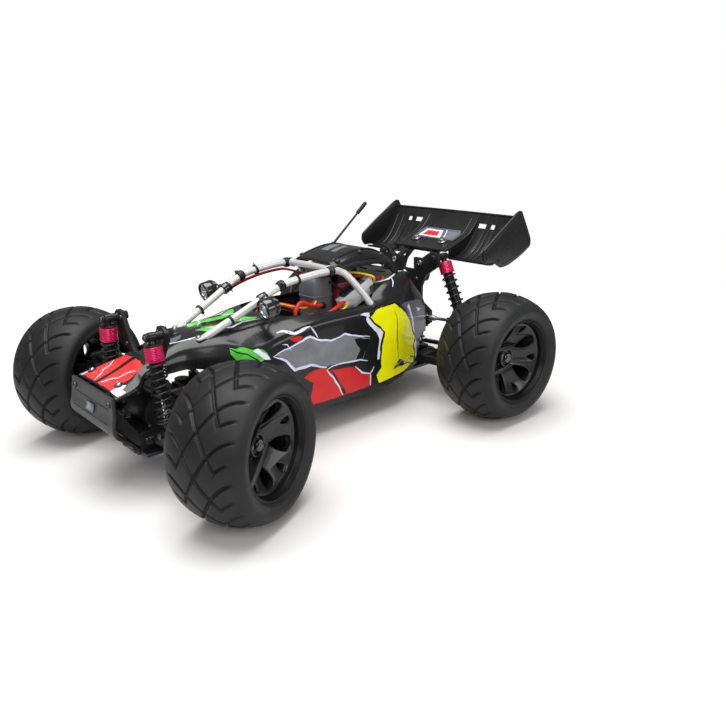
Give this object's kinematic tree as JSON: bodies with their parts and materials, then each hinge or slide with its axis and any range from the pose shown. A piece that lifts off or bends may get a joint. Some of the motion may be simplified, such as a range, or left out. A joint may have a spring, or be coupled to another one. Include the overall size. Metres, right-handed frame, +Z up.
{
  "type": "radio controlled off-road buggy",
  "caption": "One-tenth scale electric off-road buggy with tube cage, big ribbed tyres, rear wing, sprung arms, steered front wheels and shaft drive.",
  "frame": {"origin": "on the ground under the middle of the overall length, on the centre plane", "axes": "+Z up, -Y towards the nose, +X towards the car's left side"},
  "size_m": [0.3334, 0.4351, 0.1875],
  "materials": {
    "battery_grey": "satin",
    "black_plastic": "satin",
    "bright_steel": "polished",
    "bumper_plastic": "satin",
    "chassis_plate": "satin",
    "electronics_grey": "satin",
    "gloss_black": "gloss",
    "lamp_chrome": "polished",
    "motor_grey": "satin",
    "shell_paint": "gloss",
    "shock_black": "satin",
    "spring_black": "satin",
    "steel": "satin",
    "tube_silver": "satin",
    "tyre_rubber": "matte"
  },
  "bodies": {
    "chassis": {"chassis_plate": "chassis_plate", "body_shell": "shell_paint", "roll_cage": "tube_silver", "front_bumper": "bumper_plastic", "shock_towers": "black_plastic", "gear_housings": "black_plastic", "wing_mount": "black_plastic", "rear_wing": "black_plastic", "battery_pack": "battery_grey", "drive_motor": "motor_grey", "electronics": "electronics_grey", "steering_servo": "black_plastic", "headlights": "lamp_chrome", "fasteners": "bright_steel"},
    "front_left_lower_arm": {"front_left_lower_arm": "black_plastic"},
    "front_left_upper_arm": {"front_left_upper_arm": "black_plastic"},
    "front_left_hub_carrier": {"front_left_hub_carrier": "black_plastic"},
    "front_left_knuckle": {"front_left_knuckle": "black_plastic"},
    "front_left_wheel": {"front_left_wheel": "gloss_black", "front_left_tyre": "tyre_rubber"},
    "front_left_dogbone": {"front_left_dogbone": "steel"},
    "front_left_shock_body": {"front_left_shock_body": "shock_black", "front_left_spring": "spring_black"},
    "front_left_shock_rod": {"front_left_shock_rod": "steel"},
    "front_right_lower_arm": {"front_right_lower_arm": "black_plastic"},
    "front_right_upper_arm": {"front_right_upper_arm": "black_plastic"},
    "front_right_hub_carrier": {"front_right_hub_carrier": "black_plastic"},
    "front_right_knuckle": {"front_right_knuckle": "black_plastic"},
    "front_right_wheel": {"front_right_wheel": "gloss_black", "front_right_tyre": "tyre_rubber"},
    "front_right_dogbone": {"front_right_dogbone": "steel"},
    "front_right_shock_body": {"front_right_shock_body": "shock_black", "front_right_spring": "spring_black"},
    "front_right_shock_rod": {"front_right_shock_rod": "steel"},
    "rear_left_lower_arm": {"rear_left_lower_arm": "black_plastic"},
    "rear_left_upper_link": {"rear_left_upper_link": "steel"},
    "rear_left_hub": {"rear_left_hub": "black_plastic"},
    "rear_left_wheel": {"rear_left_wheel": "gloss_black", "rear_left_tyre": "tyre_rubber"},
    "rear_left_dogbone": {"rear_left_dogbone": "steel"},
    "rear_left_shock_body": {"rear_left_shock_body": "shock_black", "rear_left_spring": "spring_black"},
    "rear_left_shock_rod": {"rear_left_shock_rod": "steel"},
    "rear_right_lower_arm": {"rear_right_lower_arm": "black_plastic"},
    "rear_right_upper_link": {"rear_right_upper_link": "steel"},
    "rear_right_hub": {"rear_right_hub": "black_plastic"},
    "rear_right_wheel": {"rear_right_wheel": "gloss_black", "rear_right_tyre": "tyre_rubber"},
    "rear_right_dogbone": {"rear_right_dogbone": "steel"},
    "rear_right_shock_body": {"rear_right_shock_body": "shock_black", "rear_right_spring": "spring_black"},
    "rear_right_shock_rod": {"rear_right_shock_rod": "steel"},
    "front_outdrives": {"front_outdrives": "steel"},
    "rear_outdrives": {"rear_outdrives": "steel"},
    "centre_shaft": {"centre_shaft": "steel"},
    "servo_saver_arm": {"servo_saver_arm": "black_plastic"},
    "idler_arm": {"idler_arm": "black_plastic"},
    "centre_link": {"centre_link": "black_plastic"},
    "left_tie_rod": {"left_tie_rod": "black_plastic"},
    "right_tie_rod": {"right_tie_rod": "black_plastic"}
  },
  "joints": [
    {"name": "front_left_suspension", "type": "hinge", "parent": "chassis", "child": "front_left_lower_arm", "pos_m": [0.025, -0.15145, 0.037], "axis": [0, -1, 0], "range_deg": [-6, 10]},
    {"name": "front_left_upper_arm_pivot", "type": "hinge", "parent": "chassis", "child": "front_left_upper_arm", "pos_m": [0.025, -0.15145, 0.069], "axis": [0, -1, 0], "range_deg": [-6, 10]},
    {"name": "front_left_carrier_pivot", "type": "hinge", "parent": "front_left_lower_arm", "child": "front_left_hub_carrier", "pos_m": [0.099, -0.15145, 0.042], "axis": [0, -1, 0], "range_deg": [-10, 6]},
    {"name": "front_left_kingpin", "type": "hinge", "parent": "front_left_hub_carrier", "child": "front_left_knuckle", "pos_m": [0.099, -0.15145, 0.057], "axis": [0, 0, 1], "range_deg": [-47, 2.4]},
    {"name": "front_left_wheel_spin", "type": "hinge", "parent": "front_left_knuckle", "child": "front_left_wheel", "pos_m": [0.099, -0.15145, 0.057], "axis": [0.9164, 0.4003, 0], "continuous": true},
    {"name": "front_left_dogbone_spin", "type": "hinge", "parent": "front_left_lower_arm", "child": "front_left_dogbone", "pos_m": [0.025, -0.15145, 0.052], "axis": [0.9977, 0, 0.0674], "continuous": true},
    {"name": "front_left_shock_pivot", "type": "hinge", "parent": "chassis", "child": "front_left_shock_body", "pos_m": [0.038, -0.16245, 0.12], "axis": [0, -1, 0], "range_deg": [-1.13, 0.69]},
    {"name": "front_left_shock_travel", "type": "slide", "parent": "front_left_shock_body", "child": "front_left_shock_rod", "axis": [0.1224, 0, -0.9925], "range_m": [-0.00397, 0.00239], "deforming": ["front_left_spring"]},
    {"name": "front_right_suspension", "type": "hinge", "parent": "chassis", "child": "front_right_lower_arm", "pos_m": [-0.025, -0.15145, 0.037], "axis": [0, 1, 0], "range_deg": [-6, 10]},
    {"name": "front_right_upper_arm_pivot", "type": "hinge", "parent": "chassis", "child": "front_right_upper_arm", "pos_m": [-0.025, -0.15145, 0.069], "axis": [0, 1, 0], "range_deg": [-6, 10]},
    {"name": "front_right_carrier_pivot", "type": "hinge", "parent": "front_right_lower_arm", "child": "front_right_hub_carrier", "pos_m": [-0.099, -0.15145, 0.042], "axis": [0, 1, 0], "range_deg": [-10, 6]},
    {"name": "front_right_kingpin", "type": "hinge", "parent": "front_right_hub_carrier", "child": "front_right_knuckle", "pos_m": [-0.099, -0.15145, 0.057], "axis": [0, 0, 1], "range_deg": [-47, 2.4]},
    {"name": "front_right_wheel_spin", "type": "hinge", "parent": "front_right_knuckle", "child": "front_right_wheel", "pos_m": [-0.099, -0.15145, 0.057], "axis": [0.9164, 0.4003, 0], "continuous": true},
    {"name": "front_right_dogbone_spin", "type": "hinge", "parent": "front_right_lower_arm", "child": "front_right_dogbone", "pos_m": [-0.025, -0.15145, 0.052], "axis": [0.9977, 0, -0.0674], "continuous": true},
    {"name": "front_right_shock_pivot", "type": "hinge", "parent": "chassis", "child": "front_right_shock_body", "pos_m": [-0.038, -0.16245, 0.12], "axis": [0, 1, 0], "range_deg": [-1.13, 0.69]},
    {"name": "front_right_shock_travel", "type": "slide", "parent": "front_right_shock_body", "child": "front_right_shock_rod", "axis": [-0.1224, 0, -0.9925], "range_m": [-0.00397, 0.00239], "deforming": ["front_right_spring"]},
    {"name": "rear_left_suspension", "type": "hinge", "parent": "chassis", "child": "rear_left_lower_arm", "pos_m": [0.025, 0.12455, 0.037], "axis": [0, -1, 0], "range_deg": [-6, 10]},
    {"name": "rear_left_upper_link_pivot", "type": "hinge", "parent": "chassis", "child": "rear_left_upper_link", "pos_m": [0.025, 0.12755, 0.075], "axis": [0, -1, 0], "range_deg": [-6, 10]},
    {"name": "rear_left_hub_pivot", "type": "hinge", "parent": "rear_left_lower_arm", "child": "rear_left_hub", "pos_m": [0.099, 0.12455, 0.042], "axis": [0, -1, 0], "range_deg": [-10, 6]},
    {"name": "rear_left_wheel_spin", "type": "hinge", "parent": "rear_left_hub", "child": "rear_left_wheel", "pos_m": [0.099, 0.12455, 0.057], "axis": [1, 0, 0], "continuous": true},
    {"name": "rear_left_dogbone_spin", "type": "hinge", "parent": "rear_left_lower_arm", "child": "rear_left_dogbone", "pos_m": [0.025, 0.12455, 0.052], "axis": [0.9977, 0, 0.0674], "continuous": true},
    {"name": "rear_left_shock_pivot", "type": "hinge", "parent": "chassis", "child": "rear_left_shock_body", "pos_m": [0.035, 0.14655, 0.133], "axis": [0, -1, 0], "range_deg": [-0.53, 0.88]},
    {"name": "rear_left_shock_travel", "type": "slide", "parent": "rear_left_shock_body", "child": "rear_left_shock_rod", "axis": [0.3952, 0, -0.9186], "range_m": [-0.00828, 0.00498], "deforming": ["rear_left_spring"]},
    {"name": "rear_right_suspension", "type": "hinge", "parent": "chassis", "child": "rear_right_lower_arm", "pos_m": [-0.025, 0.12455, 0.037], "axis": [0, 1, 0], "range_deg": [-6, 10]},
    {"name": "rear_right_upper_link_pivot", "type": "hinge", "parent": "chassis", "child": "rear_right_upper_link", "pos_m": [-0.025, 0.12755, 0.075], "axis": [0, 1, 0], "range_deg": [-6, 10]},
    {"name": "rear_right_hub_pivot", "type": "hinge", "parent": "rear_right_lower_arm", "child": "rear_right_hub", "pos_m": [-0.099, 0.12455, 0.042], "axis": [0, 1, 0], "range_deg": [-10, 6]},
    {"name": "rear_right_wheel_spin", "type": "hinge", "parent": "rear_right_hub", "child": "rear_right_wheel", "pos_m": [-0.099, 0.12455, 0.057], "axis": [1, 0, 0], "continuous": true},
    {"name": "rear_right_dogbone_spin", "type": "hinge", "parent": "rear_right_lower_arm", "child": "rear_right_dogbone", "pos_m": [-0.025, 0.12455, 0.052], "axis": [0.9977, 0, -0.0674], "continuous": true},
    {"name": "rear_right_shock_pivot", "type": "hinge", "parent": "chassis", "child": "rear_right_shock_body", "pos_m": [-0.035, 0.14655, 0.133], "axis": [0, 1, 0], "range_deg": [-0.53, 0.88]},
    {"name": "rear_right_shock_travel", "type": "slide", "parent": "rear_right_shock_body", "child": "rear_right_shock_rod", "axis": [-0.3952, 0, -0.9186], "range_m": [-0.00828, 0.00498], "deforming": ["rear_right_spring"]},
    {"name": "front_outdrive_spin", "type": "hinge", "parent": "chassis", "child": "front_outdrives", "pos_m": [0, -0.15145, 0.052], "axis": [1, 0, 0], "continuous": true},
    {"name": "rear_outdrive_spin", "type": "hinge", "parent": "chassis", "child": "rear_outdrives", "pos_m": [0, 0.12455, 0.052], "axis": [1, 0, 0], "continuous": true},
    {"name": "centre_shaft_spin", "type": "hinge", "parent": "chassis", "child": "centre_shaft", "pos_m": [0, -0.01345, 0.04], "axis": [0, 1, 0], "continuous": true},
    {"name": "servo_saver_pivot", "type": "hinge", "parent": "chassis", "child": "servo_saver_arm", "pos_m": [0.025, -0.11145, 0.057], "axis": [0, 0, 1], "range_deg": [-47, 2.4]},
    {"name": "idler_pivot", "type": "hinge", "parent": "chassis", "child": "idler_arm", "pos_m": [-0.025, -0.11145, 0.057], "axis": [0, 0, 1], "range_deg": [-47, 2.4]},
    {"name": "centre_link_pivot", "type": "hinge", "parent": "servo_saver_arm", "child": "centre_link", "pos_m": [0.01859, -0.09679, 0.059], "axis": [0, 0, 1], "range_deg": [-2.4, 47]},
    {"name": "left_tie_rod_pivot", "type": "hinge", "parent": "centre_link", "child": "left_tie_rod", "pos_m": [0.01859, -0.09679, 0.065], "axis": [0, -1, 0], "range_deg": [-6, 10]},
    {"name": "right_tie_rod_pivot", "type": "hinge", "parent": "centre_link", "child": "right_tie_rod", "pos_m": [-0.03141, -0.09679, 0.065], "axis": [0, 1, 0], "range_deg": [-6, 10]}
  ],
  "couplings": [
    {"joint": "front_left_upper_arm_pivot", "follows": "front_left_suspension", "ratio": 1},
    {"joint": "front_left_carrier_pivot", "follows": "front_left_suspension", "ratio": -1},
    {"joint": "front_left_wheel_spin", "follows": "rear_left_wheel_spin", "ratio": 1},
    {"joint": "front_left_dogbone_spin", "follows": "rear_left_wheel_spin", "ratio": 1},
    {"joint": "front_left_shock_pivot", "follows": "front_left_suspension", "ratio": -0.11105},
    {"joint": "front_left_shock_travel", "follows": "front_left_suspension", "m_per_rad": -0.022639},
    {"joint": "front_right_upper_arm_pivot", "follows": "front_right_suspension", "ratio": 1},
    {"joint": "front_right_carrier_pivot", "follows": "front_right_suspension", "ratio": -1},
    {"joint": "front_right_kingpin", "follows": "front_left_kingpin", "ratio": 1},
    {"joint": "front_right_wheel_spin", "follows": "rear_left_wheel_spin", "ratio": 1},
    {"joint": "front_right_dogbone_spin", "follows": "rear_left_wheel_spin", "ratio": 1},
    {"joint": "front_right_shock_pivot", "follows": "front_right_suspension", "ratio": -0.11105},
    {"joint": "front_right_shock_travel", "follows": "front_right_suspension", "m_per_rad": -0.022639},
    {"joint": "rear_left_upper_link_pivot", "follows": "rear_left_suspension", "ratio": 1},
    {"joint": "rear_left_hub_pivot", "follows": "rear_left_suspension", "ratio": -1},
    {"joint": "rear_left_dogbone_spin", "follows": "rear_left_wheel_spin", "ratio": 1},
    {"joint": "rear_left_shock_pivot", "follows": "rear_left_suspension", "ratio": 0.085539},
    {"joint": "rear_left_shock_travel", "follows": "rear_left_suspension", "m_per_rad": -0.047316},
    {"joint": "rear_right_upper_link_pivot", "follows": "rear_right_suspension", "ratio": 1},
    {"joint": "rear_right_hub_pivot", "follows": "rear_right_suspension", "ratio": -1},
    {"joint": "rear_right_wheel_spin", "follows": "rear_left_wheel_spin", "ratio": 1},
    {"joint": "rear_right_dogbone_spin", "follows": "rear_left_wheel_spin", "ratio": 1},
    {"joint": "rear_right_shock_pivot", "follows": "rear_right_suspension", "ratio": 0.085539},
    {"joint": "rear_right_shock_travel", "follows": "rear_right_suspension", "m_per_rad": -0.047316},
    {"joint": "front_outdrive_spin", "follows": "rear_left_wheel_spin", "ratio": 1},
    {"joint": "rear_outdrive_spin", "follows": "rear_left_wheel_spin", "ratio": 1},
    {"joint": "centre_shaft_spin", "follows": "rear_left_wheel_spin", "ratio": 2.6},
    {"joint": "servo_saver_pivot", "follows": "front_left_kingpin", "ratio": 1},
    {"joint": "idler_pivot", "follows": "front_left_kingpin", "ratio": 1},
    {"joint": "centre_link_pivot", "follows": "front_left_kingpin", "ratio": -1},
    {"joint": "left_tie_rod_pivot", "follows": "front_left_suspension", "ratio": 1},
    {"joint": "right_tie_rod_pivot", "follows": "front_right_suspension", "ratio": 1}
  ]
}
